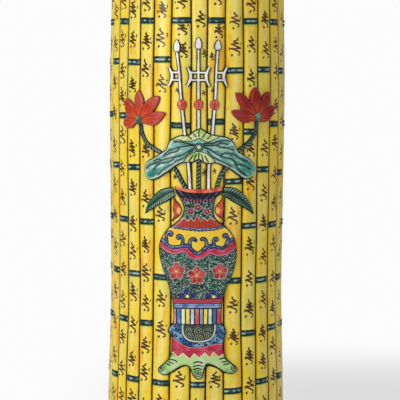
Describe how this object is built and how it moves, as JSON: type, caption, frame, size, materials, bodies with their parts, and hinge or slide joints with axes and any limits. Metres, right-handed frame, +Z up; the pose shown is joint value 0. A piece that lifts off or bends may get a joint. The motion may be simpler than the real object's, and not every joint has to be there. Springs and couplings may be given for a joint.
{
  "type": "brush pot",
  "caption": "Tall round porcelain brush pot in the form of bound bamboo stalks, yellow enamel, with a vase of lotus and halberds in low relief on its front.",
  "frame": {"origin": "centre of the circle that the foot stands on, at the bottom of the pot", "axes": "+Z up along the pot's axis, -Y towards the front with the vase, +X to the right seen from the front"},
  "size_m": [0.1203, 0.1216, 0.29],
  "materials": {
    "bare_porcelain": "unglazed, fine matt",
    "white_glaze": "clear gloss",
    "yellow_enamel": "gloss, streaked with amber and pale green",
    "vase_enamel": "gloss, stippled green on white",
    "stripe_enamel": "gloss, upright stripes of several colours",
    "collar_enamel": "gloss, blue with black dots",
    "stand_enamel": "gloss, pale green",
    "iron_red": "semi gloss",
    "green_enamel": "gloss",
    "leaf_enamel": "gloss, blue-green with dark veins",
    "red_enamel": "gloss, darker to the petals' edges"
  },
  "bodies": {
    "root": {"foot_ring": "bare_porcelain", "inner_wall": "white_glaze", "mouth_rim": "white_glaze", "pot_floor": "white_glaze", "stalk_01": "yellow_enamel", "stalk_02": "yellow_enamel", "stalk_03": "yellow_enamel", "stalk_04": "yellow_enamel", "stalk_05": "yellow_enamel", "stalk_06": "yellow_enamel", "stalk_07": "yellow_enamel", "stalk_08": "yellow_enamel", "stalk_09": "yellow_enamel", "stalk_10": "yellow_enamel", "stalk_11": "yellow_enamel", "stalk_12": "yellow_enamel", "stalk_13": "yellow_enamel", "stalk_14": "yellow_enamel", "stalk_15": "yellow_enamel", "stalk_16": "yellow_enamel", "stalk_17": "yellow_enamel", "stalk_18": "yellow_enamel", "stalk_19": "yellow_enamel", "stalk_20": "yellow_enamel", "stalk_21": "yellow_enamel", "stalk_22": "yellow_enamel", "stalk_23": "yellow_enamel", "stalk_24": "yellow_enamel", "stalk_25": "yellow_enamel", "stalk_26": "yellow_enamel", "stalk_27": "yellow_enamel", "stalk_28": "yellow_enamel", "stalk_29": "yellow_enamel", "stalk_30": "yellow_enamel", "vase_neck": "vase_enamel", "vase_belly": "vase_enamel", "stand_column": "stripe_enamel", "stand_collar": "collar_enamel", "stand_feet": "stand_enamel", "ear_handle_left": "iron_red", "ear_handle_right": "iron_red", "halberd_left": "white_glaze", "halberd_middle": "white_glaze", "halberd_right": "white_glaze", "leaf_stem": "green_enamel", "flower_stem_left": "green_enamel", "flower_stem_right": "green_enamel", "lotus_leaf": "leaf_enamel", "lotus_flower_left": "red_enamel", "lotus_flower_right": "red_enamel", "long_leaf_left": "green_enamel", "long_leaf_right": "green_enamel"}
  },
  "joints": []
}
